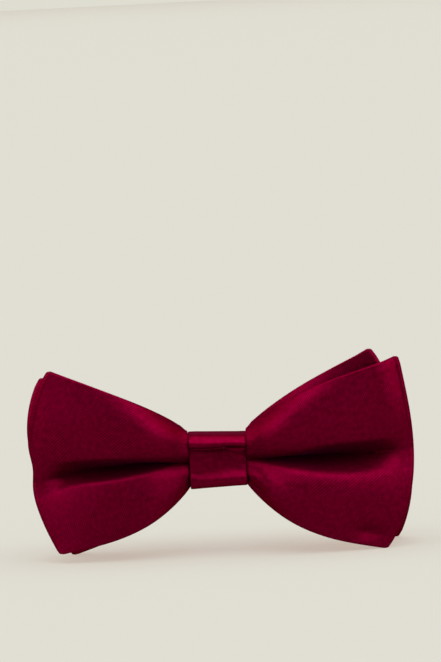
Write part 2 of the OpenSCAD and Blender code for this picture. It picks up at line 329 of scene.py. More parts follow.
BACK_WINGS = (
    Wing(
        **LEFT_SIDE, top=(54.4, 2, 27), bottom=(47, 4, -29.5), bulge=7, skew=0.3,
        arches=(2.6, 3.4), fullness=(1, 1), roll_x=(60, 0), pinch=0.9,
    ),
    Wing(
        **RIGHT_SIDE, top=(49.2, -2, 31.7), bottom=(55.6, 9, -29.5), bulge=7.5, skew=0,
        arches=(2.4, 3.8), fullness=(1, 1), roll_x=(64, -11),
    ),
)
FRONT_PANELS = (
    Panel(-2.6, -6.7, forward=-2.0, pleat_depth=11.5, steepest=1.5, swell=0.9, drop=0),
    Panel(-1.3, -4.3, forward=-1.5, pleat_depth=4, steepest=1.2, swell=0.75, drop=1.3),
)
BACK_PANELS = (
    Panel(0.1, -0.3, forward=-0.3, pleat_depth=2, steepest=1.0, swell=0.5, drop=0),
    Panel(1.9, 1.7, forward=0.0, pleat_depth=1, steepest=0.85, swell=0.5, drop=1.0),
)

# The pleat's depth, as a share of its greatest depth, at the knot, at each quarter of
# the way out, and at the edge.
PLEAT_SHARES = (0.3, 0.9, 0.87, 0.57, 0.08)
# The pleat's bottom is this long, measured along the strip.
BOTTOM_LENGTH = 0.6
# The pleat's wall leans this much more than a straight one from its bottom to its lip,
# and the lip starts this far before the straight one's end.
WALL_LEAN = 1.03
LIP_EARLY = 1
# The strip opens from its height in the knot over this share of the way out.
WAIST_FLARE = 0.012
# How much of its swell a lobe has in the knot, and what it gains in the waist's flare and
# then up to its fullest place. From there to the edge it loses a share of that.
SWELL_IN_KNOT = 0.5
SWELL_IN_FLARE = 0.35
SWELL_AFTER = 0.15
SWELL_LOSS = 0.25
FULLEST_AT = 0.3
# A wing's own fullness counts in full from this share of the way out.
FULLNESS_FROM = 0.25
# The top slopes back near the knot over this height, in full from this share of the way
# out.
SHOULDER_DROP = 5.5
SHOULDER_FROM = 0.06
# An edge that is pinched is drawn in this far above the pleat's end, over this height.
PINCH_ABOVE = 4.5
PINCH_HEIGHT = 5.5
# The wing's end rolls back over this width, by this depth.
ROLL_WIDTH = 6.0
ROLL_DEPTH = 3.2
# The gathers run out of the knot from here, and fade over this distance. The cloth's
# unevenness is there in full from this distance on.
GATHER_FROM = 8
GATHER_FADE = 6
GATHER_DEPTH = 0.22
UNEVEN_FROM = 20
UNEVEN_DEPTH = 0.3
# A crease's depth at its ends, as a share of its depth in the middle.
CREASE_END = 0.35
# Places along a half strip, and the slopes that are tried for its lobe.
STEPS = np.linspace(0, 1, 161)
STEEPNESS = np.linspace(0, 1.5, 61)
# A lobe keeps a little cloth to spare, as a share of the half strip.
LEAST_SLACK = 0.1


def running_sum(values):
    middle = (values[..., 1:] + values[..., :-1]) / 2 * (STEPS[1] - STEPS[0])
    start = np.zeros(values.shape[:-1] + (1,))
    return np.concatenate([start, np.cumsum(middle, axis=-1)], axis=-1)


def fold_curve(height, s, pleat_w, pleat_depth, lip, panel, lobe_share):
    """Height and forward swell, along |s|, of half strips whose edges are at height.
    From its middle a strip turns forward up the pleat's wall, over a lip, and on in a
    lobe whose slope follows a cosine, as a bent strip's does."""
    at = np.abs(s)
    z, y = [], []
    for h, w, deep, held in zip(height, pleat_w, pleat_depth, lobe_share):
        run = STEPS * HALF_STRIP
        climb = math.atan2(deep, w) * WALL_LEAN
        bottom = smooth_step(run / BOTTOM_LENGTH)
        past_wall = run - math.hypot(deep, w) + LIP_EARLY
        wall = bottom * (1 - smooth_step(past_wall / lip))
        lobe = np.cos(math.pi * np.clip((run - deep) / (HALF_STRIP - deep), 0, 1)) * bottom
        # The lobe gets the slope at which the strip just fills its height.
        slopes = wall * climb + (1 - wall) * lobe * STEEPNESS[:, None]
        widths = running_sum(np.cos(slopes))[:, -1]
        slack = widths[0] - h / HALF_STRIP
        slack = (slack + math.hypot(slack, LEAST_SLACK)) / 2
        steep = np.interp(widths[0] - slack, widths[::-1], STEEPNESS[::-1])
        steep = panel.steepest * math.tanh(steep / panel.steepest)
        slope = wall * climb + (1 - wall) * lobe * steep
        rise = running_sum(np.cos(slope))
        shape = wall + (1 - wall) * panel.swell * held
        swell = running_sum(np.sin(slope) * shape)
        length = h / rise[-1]
        z.append(np.interp(at, STEPS, rise) * length)
        y.append(np.interp(at, STEPS, swell) * length)
    return np.array(z), np.array(y)


def wrinkles(x, s, seed):
    """Small gathers that run out of the knot, and the cloth's slight unevenness. The
    waves' lengths only have to differ, so that nothing repeats."""
    away = np.maximum(np.abs(x) - GATHER_FROM, 0)
    side = np.sign(x) + seed
    gathers = np.sin(15 * s + 2.1 * side + 0.5 * np.sin(5 * s + seed))
    gathers = gathers + 0.7 * np.sin(27 * s + 1.3 * side)
    uneven = np.sin(0.11 * x + 3.1 * s + seed) * np.cos(0.07 * x - 4.3 * s + 2 * seed)
    near_knot = GATHER_DEPTH * gathers * np.exp(-away / GATHER_FADE)
    return near_knot + UNEVEN_DEPTH * uneven * smooth_step(away / UNEVEN_FROM)


def crease_shape(x, z, start, stop, width):
    """A groove along a line, deepest at its middle."""
    start, ahead = np.array(start), np.subtract(stop, start)
    along = ((x - start[0]) * ahead[0] + (z - start[1]) * ahead[1]) / (ahead @ ahead)
    held = np.clip(along, 0, 1)
    off = np.hypot(x - start[0] - held * ahead[0], z - start[1] - held * ahead[1])
    return bump_at(off, width) * (CREASE_END + (1 - CREASE_END) * np.sin(math.pi * held))


def lobe_swell(opening, flare):
    """How much of its swell a lobe has at a share of the way out."""
    gained = SWELL_IN_KNOT + SWELL_IN_FLARE * flare
    gained = gained + SWELL_AFTER * smooth_step(opening / FULLEST_AT)
    past = (opening - FULLEST_AT) / (1 - FULLEST_AT)
    return gained * (1 - SWELL_LOSS * smooth_step(past))


def panel_surface(wing, panel, t, s, seed):
    """Middle surface of a panel, for shares t out from the knot and s up the strip."""
    opening = np.clip((t - KNOT_SHARE) / (1 - KNOT_SHARE), 0, 1)
    pleat = wing.pleat_height(opening)
    flare = smooth_step(opening / WAIST_FLARE)
    drop = panel.drop * np.sin(math.pi * opening)
    top = WAIST_H + (wing.outline(opening, True) - drop - WAIST_H) * flare
    low = WAIST_H + (wing.outline(opening, False) - drop - WAIST_H) * flare
    width = smooth_curve(opening, wing.pleat_w)
    deep = smooth_curve(opening, PLEAT_SHARES) * panel.pleat_depth
    swell = lobe_swell(opening, flare)
    away = smooth_step(opening / FULLNESS_FROM)
    (top_z, top_y), (low_z, low_y) = (
        fold_curve(height, s, width, deep, lip, panel, swell * (1 + (full - 1) * away))
        for height, lip, full in zip((top - pleat, low + pleat), wing.lips, wing.fullness)
    )
    upper = s[None, :] > 0
    opening, t, pleat = opening[:, None], t[:, None], pleat[:, None]
    z = pleat + np.where(upper, top_z, -low_z)
    level = np.clip(z / np.where(z > 0, top[:, None], low[:, None]), -1, 1)
    edge = wing.edge_x(level) - FOLD_R
    edge = edge - wing.pinch * bump_at(z - wing.pleat_z[-1] - PINCH_ABOVE, PINCH_HEIGHT)
    x = np.where(
        t < KNOT_SHARE, SPREAD_X * t / KNOT_SHARE, SPREAD_X + (edge - SPREAD_X) * opening
    )
    y = panel.waist_y + (panel.edge_y - panel.waist_y) * t
    y = y - panel.forward * np.sin(math.pi * opening)
    y = y + wing.lean(opening, s[None, :]) - np.where(upper, top_y, low_y)
    rolled = (x - (wing.roll_x[0] + wing.roll_x[1] * s[None, :])) / ROLL_WIDTH
    y = y + ROLL_DEPTH * np.clip(rolled, 0, 1) ** 2
    under_top = (z - top[:, None] + SHOULDER_DROP) / SHOULDER_DROP
    shoulder, shoulder_end = wing.shoulder
    kept = smooth_step(opening / SHOULDER_FROM) * (1 - smooth_step(opening / shoulder_end))
    y = y + shoulder * kept * np.clip(under_top, 0, 1) ** 2
    for start, stop, depth, width in wing.creases:
        y = y + depth * crease_shape(x, z, start, stop, width)
    x = wing.side * x
    # The folded edges, where s is 1, stay straight.
    y = y + wrinkles(x, s[None, :], seed) * (1 - np.abs(s[None, :]) ** 8)
    return np.stack([x, y, z], axis=-1)


# Steps from the strip's end to the wing's end, close together in the waist's flare.
OUT_STEPS = np.concatenate([
    np.linspace(END_SHARE, KNOT_SHARE, 6)[:-1],
    KNOT_SHARE + (1 - KNOT_SHARE) * np.concatenate([
        [0, WAIST_FLARE / 2, WAIST_FLARE, 0.02], np.linspace(0.03, 1, 46),
    ]),
])
FOLD_STEPS = np.radians(np.linspace(0, 180, 13)[1:-1])


def wing_surface(wing, panels, s, seed):
    """Front panel outwards, end fold, and rear panel back to the knot."""
    front = panel_surface(wing, panels[0], OUT_STEPS, s, seed)
    rear = panel_surface(wing, panels[1], OUT_STEPS, s, seed + 0.4)
    start, stop = front[-1], rear[-1]
    middle = (start + stop) / 2
    half = (stop - start) / 2
    outward = np.array([wing.side * FOLD_R, 0, 0])
    fold = [middle - half * math.cos(a) + outward * math.sin(a) for a in FOLD_STEPS]
    return np.concatenate([front, np.array(fold), rear[::-1]])


def strip_surface(wings, panels, s, seed):
    """The whole strip, from the rear of the waist round both wings and back."""
    left = wing_surface(wings[0], panels, s, seed)[::-1]
    right = wing_surface(wings[1], panels, s, seed)
    return np.concatenate([left, right])


ROW_COUNT = 71
# Above 1, this draws the rows together towards the pleat.
ROW_POWER = 1.3


def edge_rows(half_t):
    """Rows up the strip, with close rows where its folded edges are round."""
    inner = 1 - half_t / HALF_STRIP
    middle = np.linspace(-1, 1, ROW_COUNT)
    middle = np.sign(middle) * np.abs(middle) ** ROW_POWER * inner
    bend = inner + (1 - inner) * np.sin(np.radians([18, 36, 54, 72, 90]))
    return np.concatenate([-bend[::-1], middle, bend])


FLOOR_Z = -KNOT_AT[2] / MM
TABLE_GAP = 0.02


def stand_on_table(points):
    points[..., 2] = np.maximum(points[..., 2], FLOOR_Z + TABLE_GAP)
    return points


def strip_rings(surface_at, half_t, inset=0):
    """Rings of points round a strip half_t either side of its middle surface."""
    rows = edge_rows(half_t)
    surface = surface_at(rows * (1 - inset / HALF_STRIP))
    along = np.gradient(surface, axis=0)
    up = np.gradient(surface, axis=1)
    normal = unit(np.cross(along, up))
    from_edge = (1 - np.abs(rows)) * HALF_STRIP
    round_part = np.clip(1 - from_edge / half_t, 0, 1)
    pressed = 1 - PRESSED_THINNER * smooth_step(1 - from_edge / PRESSED_WIDTH)
    reach = (half_t * pressed * np.sqrt(1 - round_part**2))[None, :, None]
    front = surface + normal * reach
    back = surface - normal * reach
    rings = stand_on_table(np.concatenate([front, back[:, -2:0:-1]], axis=1))
    spots = np.concatenate([rows, 2 - rows[-2:0:-1]]) * HALF_STRIP
    # The cloth's length is taken three quarters of the way up.
    run = run_length(surface[:, len(rows) * 3 // 4])
    return rings, cloth_uvs(run, spots)


def satin_tube(name, surface_at, half_t):
    outer = strip_rings(surface_at, half_t)
    inner = strip_rings(surface_at, half_t - SATIN_T, SATIN_T)
    return add_tube(name, outer, inner)


# An interlining's gap to the cloth round it, and how far it stops short of its edges.
LINING_GAP = 0.05
LINING_INSET = 0.3


def make_bow(label, wings, panels, seed):
    def surface_at(s):
        return strip_surface(wings, panels, s, seed)

    half_t = STRIP_T / 2
    satin = satin_tube(label + "_bow_satin_cloth", surface_at, half_t)
    lining_rings = strip_rings(
        surface_at, half_t - SATIN_T - LINING_GAP, SATIN_T + LINING_INSET
    )
    lining = add_solid(label + "_bow_interlining_cloth", *lining_rings)
    for piece, node in ((satin, "_bow_satin"), (lining, "_bow_interlining")):
        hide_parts(label + node)
        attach(piece, "bow")
    return satin, lining


front_satin, front_lining = make_bow("front", FRONT_WINGS, FRONT_PANELS, 0.0)
back_satin, back_lining = make_bow("back", BACK_WINGS, BACK_PANELS, 1.7)


# ---------------------------------------------------------------- knot

# Thickness of the wrap and of its satin, and width of its turned-in sides.
WRAP_T = 1.4
WRAP_LAYER = 0.4
HEM = 4.0
KNOT_CORNER = 2.9
# The wrap's sides are pressed to this share of a round edge.
EDGE_ROUND = 0.5
# The crossing fold is this high in the middle, higher at the right side, and wavy.
CROSSING_Z = 4.3
CROSSING_CLIMB = 0.2
CROSSING_WAVE = 0.15
# The lip above the fold: how far it stands out, how far up, and over what height.
LIP_OUT = 0.9
LIP_UP = 1.0
LIP_HEIGHT = 1.8
# Under the fold the cloth is sunk, over this height, and more on the right.
SINK = 1.3
SINK_RIGHT = 1.1
SINK_HEIGHT = 9.5
# Right under it is a groove, which is shallower on the right.
GROOVE = 0.9
GROOVE_RIGHT = -0.3
GROOVE_HEIGHT = 1.2
# The belly starts this far under the fold and rises over this height, in a soft step and
# a straight slope.
BELLY_UNDER = 6.5
BELLY_HEIGHT = 5.4
BELLY_STEP = 1.25
BELLY_SLOPE = 0.55
# Depth of the fine gathers near the wrap's sides.
WRAP_GATHERS = 0.08
KNOT_STEPS = 132


def knot_path():
    """Points round the knot's section, as y and z, with their outward normals and their
    distances along it."""
    half_h = KNOT_H / 2
    corners = [
        (KNOT_REAR - KNOT_CORNER, half_h - KNOT_CORNER, 0),
        (KNOT_FRONT + KNOT_CORNER, half_h - KNOT_CORNER, 90),
        (KNOT_FRONT + KNOT_CORNER, KNOT_CORNER - half_h, 180),
        (KNOT_REAR - KNOT_CORNER, KNOT_CORNER - half_h, 270),
    ]
    points = []
    for y, z, start in corners:
        for turn in np.radians(np.linspace(start, start + 90, 12)):
            points.append(
                (y + KNOT_CORNER * math.cos(turn), z + KNOT_CORNER * math.sin(turn))
            )
    points = np.array(points + points[:1])
    run = run_length(points)
    at = np.linspace(0, run[-1], KNOT_STEPS, endpoint=False)
    path = np.stack([np.interp(at, run, points[:, k]) for k in (0, 1)], axis=1)
    ahead = np.roll(path, -1, axis=0) - np.roll(path, 1, axis=0)
    normal = unit(np.stack([ahead[:, 1], -ahead[:, 0]], axis=1))
    return path, normal, at


def knot_relief(x, z, forward):
    """How far the wrap stands out at a point: its lip, its crease, its belly and its
    gathers. forward is how much the point faces the front."""
    front = np.clip(forward, 0, 1) ** 2
    across = x / (KNOT_W / 2)
    above = z - (CROSSING_Z + CROSSING_CLIMB * across + CROSSING_WAVE * np.sin(0.5 * x))
    lip = LIP_OUT * bump_at(above - LIP_UP, LIP_HEIGHT) * smooth_step((above + 0.3) / 0.6)
    under = 1 - smooth_step((above - 0.1) / 0.5)
    sink = (SINK + SINK_RIGHT * across) * np.clip(above / SINK_HEIGHT + 1, 0, 1)
    groove = (GROOVE + GROOVE_RIGHT * across) * np.exp(np.minimum(above, 0) / GROOVE_HEIGHT)
    rise = (-BELLY_UNDER - above) / BELLY_HEIGHT
    belly = BELLY_STEP * smooth_step(rise) + BELLY_SLOPE * np.clip(rise, 0, 1)
    gathers = np.sin(2.3 * z + 0.7 * np.sin(0.9 * x)) * smooth_step((abs(x) - 4) / 5)
    return front * (lip + belly - (sink + groove) * under) + WRAP_GATHERS * gathers


def knot_profile():
    """The wrap's section across the knot: x, and depth below the outer face."""
    half_w = KNOT_W / 2
    r = WRAP_T / 2
    flat = list(np.linspace(EDGE_ROUND * r - half_w, half_w - EDGE_ROUND * r, 29))
    turn = [math.radians(a) for a in (-60, -30, 0, 30, 60)]
    inner_r = r - WRAP_LAYER
    round_x = r * EDGE_ROUND
    lip_x = half_w - HEM
    right_side = [
        (half_w - round_x + round_x * math.cos(a), -r + r * math.sin(a)) for a in turn[::-1]
    ]
    left_side = [(-x, d) for x, d in right_side[::-1]]
    right_in = [
        (half_w - r + inner_r * math.cos(a), -r + inner_r * math.sin(a)) for a in turn
    ]
    left_in = [(-x, d) for x, d in right_in[::-1]]
    profile = [(x, 0.0) for x in flat] + right_side
    profile += [(half_w - r, -WRAP_T), (lip_x, -WRAP_T), (lip_x, WRAP_LAYER - WRAP_T)]
    profile += [(half_w - r, WRAP_LAYER - WRAP_T)] + right_in
    profile += [(x, -WRAP_LAYER) for x in flat[::-1]]
    profile += left_in + [(r - half_w, WRAP_LAYER - WRAP_T)]
    profile += [(-lip_x, WRAP_LAYER - WRAP_T), (-lip_x, -WRAP_T), (r - half_w, -WRAP_T)]
    return profile + left_side


# The wrap is wider at its top than at its bottom by this share. It has this share of the
# CAD ring's height, less on the right, where it is pulled tighter, and it sags a little.
WRAP_WIDER = 0.02
WRAP_HEIGHT = 0.98
WRAP_TIGHTER = 0.04
WRAP_SAG = 0.5
WRAP_TILT = 0.05
WRAP_LINING_GAP = 0.15


def knot_ring_piece(name, profile):
    path, normal, run = knot_path()
    profile = np.array(profile)
    x = profile[None, :, 0]
    depth = profile[None, :, 1]
    y, z = path[:, 0:1], path[:, 1:2]
    out = depth + knot_relief(x, z, -normal[:, 0:1])
    across = x / (KNOT_W / 2)
    height = (z + normal[:, 1:2] * out) * (WRAP_HEIGHT - WRAP_TIGHTER * across)
    points = np.stack(
        [
            x * (1 + WRAP_WIDER * z / KNOT_H),
            y + normal[:, 0:1] * out,
            height - WRAP_SAG - WRAP_TILT * across,
        ],
        axis=-1,
    )
    uvs = cloth_uvs(run, run_length(profile))
    faces = ring_faces(len(path), len(profile), close=True)
    return add_object(name, points.reshape(-1, 3), faces, uvs.reshape(-1, 2))


def make_knot():
    satin = knot_ring_piece("knot_satin_cloth", knot_profile())
    half_w = KNOT_W / 2 - WRAP_LAYER - LINING_INSET
    top, bottom = -WRAP_LAYER - WRAP_LINING_GAP, WRAP_LAYER + LINING_GAP - WRAP_T
    outline = [(x, top) for x in np.linspace(-half_w, half_w, 25)]
    outline += [(x, bottom) for x in np.linspace(half_w, -half_w, 25)]
    lining = knot_ring_piece("knot_interlining_cloth", outline)
    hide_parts("knot_satin")
    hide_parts("knot_interlining")
    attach(satin, "bow")
    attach(lining, "bow")
    return satin, lining


knot_satin, knot_lining = make_knot()


# ---------------------------------------------------------------- neckband

BAND_W = 10.0
BAND_T = 1.0
BAND_Z = -1.5
BAND_SKIN = 0.25
BAND_LINING_INSET = 0.25
# The strap's edges are round over this share of its half width.
STRAP_ROUND = 0.06
# y of the band's four runs, and of the strap that comes back from the hook or the eye.
RUNS = (4.1, 7.7, 9.8, 12.6)
RETURN_Y = 15.8
# x of the band's outer and inner folds, of its open end, and of the strap's end in it.
FOLD_OUT = 52.0
FOLD_IN = 5.0
BAND_END_X = 14.9
STRAP_END_X = 19.0
# x of the bars that the strap turns round.
EYE_X = 10.0
HOOK_X = -16.0
SLIDER_X = 34.0
# A sewn end reaches this far past its bar.
TAIL_LENGTH = 9.0
# Thickness of the layer between the band and the slider's bar, and its gap to the band.
LEG_T = 0.5
RUNNING_GAP = 0.3
# The strap's turn stands out this far from the middle of the slider's bar.
BEND_OUT = 1.25
# Thickness of the strap inside the band and of its sewn end at the slider.
INSIDE_T = 0.4
TAIL_T = 0.44
INSIDE_INSET = 0.15
PLAN_STEP = 1.5


def plan_line(start, stop):
    count = max(2, int(abs(stop[0] - start[0]) / PLAN_STEP) + 1)
    return [tuple(p) for p in np.linspace(start, stop, count)]


def plan_turn(x, y0, y1, side):
    """A half turn from y0 to y1 that bulges towards side."""
    middle, r = (y0 + y1) / 2, (y1 - y0) / 2
    turns = np.radians(np.linspace(0, 180, 13))[1:-1]
    return [(x + side * abs(r) * math.sin(a), middle - r * math.cos(a)) for a in turns]


def half_band(side, end_x):
    """The plan of the folded band on one side, from the knot to its last run."""
    path = plan_line((0, RUNS[0]), (side * FOLD_OUT, RUNS[0]))
    path += plan_turn(side * FOLD_OUT, RUNS[0], RUNS[1], side)
    path += plan_line((side * FOLD_OUT, RUNS[1]), (side * FOLD_IN, RUNS[1]))
    path += plan_turn(side * FOLD_IN, RUNS[1], RUNS[2], -side)
    path += plan_line((side * FOLD_IN, RUNS[2]), (side * FOLD_OUT, RUNS[2]))
    path += plan_turn(side * FOLD_OUT, RUNS[2], RUNS[3], side)
    return path + plan_line((side * FOLD_OUT, RUNS[3]), (end_x, RUNS[3]))


def strap_outline():
    """A strap's section, in shares of its half thickness and half width: up its front,
    round the top edge, down its back and round the bottom edge."""
    flat = 1 - STRAP_ROUND
    bend = [(math.cos(a), flat + STRAP_ROUND * math.sin(a)) for a in np.radians([30, 60])]
    front = [(reach, -z) for reach, z in bend[::-1]]
    front += [(1.0, z) for z in np.linspace(-flat, flat, 13)] + bend
    back = [(-reach, z) for reach, z in front[::-1]]
    return np.array(front + [(0.0, 1.0)] + back + [(0.0, -1.0)])


def strap_rings(path, half_t, inset=0.0):
    """Rings of points round a strap that stands on edge along a plan path. half_t and
    inset, which narrows it, are one number or one for each point of the path."""
    path = np.asarray(path, float)
    outline = strap_outline()
    half_t = np.broadcast_to(half_t, len(path))[:, None]
    half_w = BAND_W / 2 - np.broadcast_to(inset, len(path))[:, None]
    ahead = unit(np.gradient(path, axis=0))
    reach = half_t * outline[:, 0]
    x = path[:, 0:1] - ahead[:, 1:2] * reach
    y = path[:, 1:2] + ahead[:, 0:1] * reach
    z = BAND_Z + half_w * outline[:, 1]
    uvs = cloth_uvs(run_length(path), run_length(outline * [BAND_T / 2, BAND_W / 2]))
    return np.stack([x, y, z], axis=-1), uvs


def band_path():
    """From the tail sewn round the hook, through the knot, to the adjuster."""
    left = half_band(-1, HOOK_X)
    left += plan_turn(HOOK_X, RUNS[3], RETURN_Y, 1)
    left += plan_line((HOOK_X, RETURN_Y), (HOOK_X - TAIL_LENGTH, RETURN_Y))
    right = half_band(1, BAND_END_X)
    return left[::-1] + right[1:]


def make_neckband():
    path = band_path()
    outer = strap_rings(path, BAND_T / 2)
    inner = strap_rings(path, BAND_T / 2 - BAND_SKIN, BAND_SKIN)
    satin = add_tube("neckband_satin_cloth", outer, inner)
    # The interlining stops short of the sewn end and of the strap in the open end.
    lining_rings = strap_rings(
        path[2:-7], BAND_T / 2 - BAND_SKIN - LINING_GAP, BAND_SKIN + BAND_LINING_INSET
    )
    lining = add_solid("neckband_interlining_cloth", *lining_rings)
    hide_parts("neckband_satin")
    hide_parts("neckband_interlining")
    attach(satin, "neckband")
    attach(lining, "neckband")
    return satin, lining


neckband_satin, neckband_lining = make_neckband()


def make_adjuster():
    """Strap from inside the band, round the eye's bar and back to the slider's bar."""
    path = plan_line((STRAP_END_X, RUNS[3]), (EYE_X, RUNS[3]))
    inside = len(path)
    path += plan_turn(EYE_X, RUNS[3], RETURN_Y, -1)
    turned = len(path)
    path += plan_line((EYE_X, RETURN_Y), (SLIDER_X, RETURN_Y))
    at_bar = len(path)
    leg_y = RUNS[3] + BAND_T / 2 + RUNNING_GAP + LEG_T / 2
    middle, rise = (RETURN_Y + leg_y) / 2, (RETURN_Y - leg_y) / 2
    path += [
        (SLIDER_X + BEND_OUT * math.sin(a), middle + rise * math.cos(a))
        for a in np.radians(np.linspace(0, 180, 13)[1:])
    ]
    # From the bar the sewn end climbs to lie against the strap.
    seam_y = RETURN_Y - BAND_T / 2 - LEG_T / 2
    climb = [(1.2, leg_y + 0.1), (2.4, leg_y + 0.55), (3.6, seam_y - 0.25), (4.8, seam_y)]
    path += [(SLIDER_X - back, y) for back, y in climb]
    path += plan_line((SLIDER_X - 5.8, seam_y), (SLIDER_X - TAIL_LENGTH, seam_y))
    at = np.arange(len(path))
    half_t = np.full(len(path), BAND_T / 2)
    # The end inside the band is one thin layer, so that it can run in and out.
    half_t[:turned] = np.interp(at[:turned], [inside, turned], [INSIDE_T / 2, BAND_T / 2])
    half_t[at_bar:] = np.interp(
        at[at_bar:], [at_bar, at_bar + 12], [BAND_T / 2, TAIL_T / 2]
    )
    inset = np.interp(at, [inside, turned], [BAND_SKIN + INSIDE_INSET, 0])
    strap = add_solid("adjuster_strap_cloth", *strap_rings(path, half_t, inset))
    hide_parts("adjuster_return", "adjuster_loop")
    return strap


adjuster_strap = make_adjuster()


# ---------------------------------------------------------------- materials


def new_material(name, roughness, metallic=0.0):
    material = bpy.data.materials.new(name)
    material.use_nodes = True
    tree = material.node_tree
    tree.nodes.clear()
    out = tree.nodes.new("ShaderNodeOutputMaterial")
    shader = tree.nodes.new("ShaderNodeBsdfPrincipled")
    tree.links.new(shader.outputs[0], out.inputs[0])
    shader.inputs["Roughness"].default_value = roughness
    shader.inputs["Metallic"].default_value = metallic
    return material, tree, shader


def math_node(tree, operation, a, b=None):
    node = tree.nodes.new("ShaderNodeMath")
    node.operation = operation
    for slot, value in enumerate((a, b)):
        if value is None:
            continue
        if isinstance(value, (int, float)):
            node.inputs[slot].default_value = value
        else:
            tree.links.new(value, node.inputs[slot])
    return node.outputs[0]


def noise_node(tree, vector, scale, detail):
    node = tree.nodes.new("ShaderNodeTexNoise")
    node.inputs["Scale"].default_value = scale
    node.inputs["Detail"].default_value = detail
    tree.links.new(vector, node.inputs["Vector"])
    return node.outputs[0]


def ramp_node(tree, value, stops):
    node = tree.nodes.new("ShaderNodeValToRGB")
    ramp = node.color_ramp
    while len(ramp.elements) < len(stops):
        ramp.elements.new(0.5)
    for element, (at, color) in zip(ramp.elements, stops):
        element.position = at
        element.color = (*color, 1)
    tree.links.new(value, node.inputs[0])
    return node.outputs[0]


def bump_node(tree, shader, height, distance, strength=1.0):
    node = tree.nodes.new("ShaderNodeBump")
    node.inputs["Distance"].default_value = distance
    node.inputs["Strength"].default_value = strength
    tree.links.new(height, node.inputs["Height"])
    tree.links.new(node.outputs[0], shader.inputs["Normal"])


def wave_node(tree, value, pitch):
    """A sine wave of this pitch, in metres."""
    return math_node(tree, "SINE", math_node(tree, "MULTIPLY", value, 2 * math.pi / pitch))


def weighted_node(tree, value, weight, plus):
    """value times weight, and plus."""
    return math_node(tree, "ADD", math_node(tree, "MULTIPLY", value, weight), plus)


def split_node(tree, vector):
    split = tree.nodes.new("ShaderNodeSeparateXYZ")
    tree.links.new(vector, split.inputs[0])
    return split.outputs


def cloth_place(tree):
    """The cloth's UV map, in metres of cloth."""
    uv = tree.nodes.new("ShaderNodeUVMap")
    uv.uv_map = "cloth"
    return uv.outputs[0]


def object_place(tree):
    """The place on the object, in metres."""
    return tree.nodes.new("ShaderNodeTexCoord").outputs["Object"]


def set_inputs(shader, **values):
    """Sets a shader's inputs, whose names are given with _ in place of each space."""
    for name, value in values.items():
        shader.inputs[name.replace("_", " ")].default_value = value


def color_from(tree, shader, value, stops):
    tree.links.new(ramp_node(tree, value, stops), shader.inputs["Base Color"])


# Pitches and bump depths, in metres.
TWILL_PITCH = 0.00067
TWILL_BUMP = 0.00003
WEAVE_PITCH = 0.0008
WEAVE_BUMP = 0.00005
PLY_PITCH = 0.00025
PLY_BUMP = 0.00004
WIRE_BUMP = 0.00002
# How much the satin's slubs and its slow clouds change its tone.
SLUB_TONE = 0.7
CLOUD_TONE = 0.3
# The twill's height in the bump, for each unit of its tone.
TWILL_HEIGHT = 1.4
# The satin's least roughness, and what its slubs add.
SATIN_ROUGHNESS = 0.33
SLUB_ROUGHNESS = 0.16
SATIN_TINT = (0.35, 0.0, 0.1, 1)
SATIN_SHEEN = (1.0, 0.0, 0.35, 1)
THREAD_SHEEN = (1.0, 0.1, 0.35, 1)


def satin_material(name, deep, mid, light, twill=0.36):
    """Polyester satin: a fine diagonal twill, slubs, and a soft coloured gloss."""
    material, tree, shader = new_material(name, 0.4, metallic=0.75)
    place = cloth_place(tree)
    axes = split_node(tree, place)
    across = math_node(tree, "SUBTRACT", axes[0], axes[1])
    rib = wave_node(tree, across, math.sqrt(2) * TWILL_PITCH)
    slub = noise_node(tree, place, 700, 4)
    patch = noise_node(tree, place, 90, 2)
    cloud = noise_node(tree, place, 40, 2)
    # The twill shows more in some places than in others.
    shown = math_node(tree, "MULTIPLY", rib, math_node(tree, "MULTIPLY", patch, twill))
    bump_node(tree, shader, weighted_node(tree, rib, TWILL_HEIGHT * twill, slub), TWILL_BUMP)
    tone = weighted_node(tree, slub, SLUB_TONE, shown)
    tone = weighted_node(tree, cloud, CLOUD_TONE, tone)
    color_from(tree, shader, tone, [(0.2, deep), (0.5, mid), (0.8, light)])
    rough = weighted_node(tree, slub, SLUB_ROUGHNESS, SATIN_ROUGHNESS)
    tree.links.new(rough, shader.inputs["Roughness"])
    set_inputs(shader, Specular_IOR_Level=0.0, Specular_Tint=SATIN_TINT)
    set_inputs(shader, Sheen_Weight=0.04, Sheen_Roughness=0.4, Sheen_Tint=SATIN_SHEEN)
    return material


def woven_material(name, dark, light):
    """Plain woven interlining: two sets of threads."""
    material, tree, shader = new_material(name, 0.85)
    place = cloth_place(tree)
    warp, weft = (wave_node(tree, axis, WEAVE_PITCH) for axis in split_node(tree, place)[:2])
    weave = math_node(tree, "MULTIPLY", warp, weft)
    tone = weighted_node(tree, weave, 0.2, noise_node(tree, place, 600, 3))
    color_from(tree, shader, tone, [(0.2, dark), (0.8, light)])
    bump_node(tree, shader, tone, WEAVE_BUMP)
    return material


def thread_material(name, dark, light):
    """Twisted sewing thread."""
    material, tree, shader = new_material(name, 0.5)
    place = object_place(tree)
    axes = split_node(tree, place)
    ply = wave_node(tree, math_node(tree, "ADD", axes[0], axes[2]), PLY_PITCH)
    tone = weighted_node(tree, ply, 0.3, noise_node(tree, place, 3000, 2))
    color_from(tree, shader, tone, [(0.2, dark), (0.8, light)])
    bump_node(tree, shader, tone, PLY_BUMP)
    set_inputs(shader, Sheen_Weight=0.1, Sheen_Tint=THREAD_SHEEN, Specular_IOR_Level=0.15)
    return material


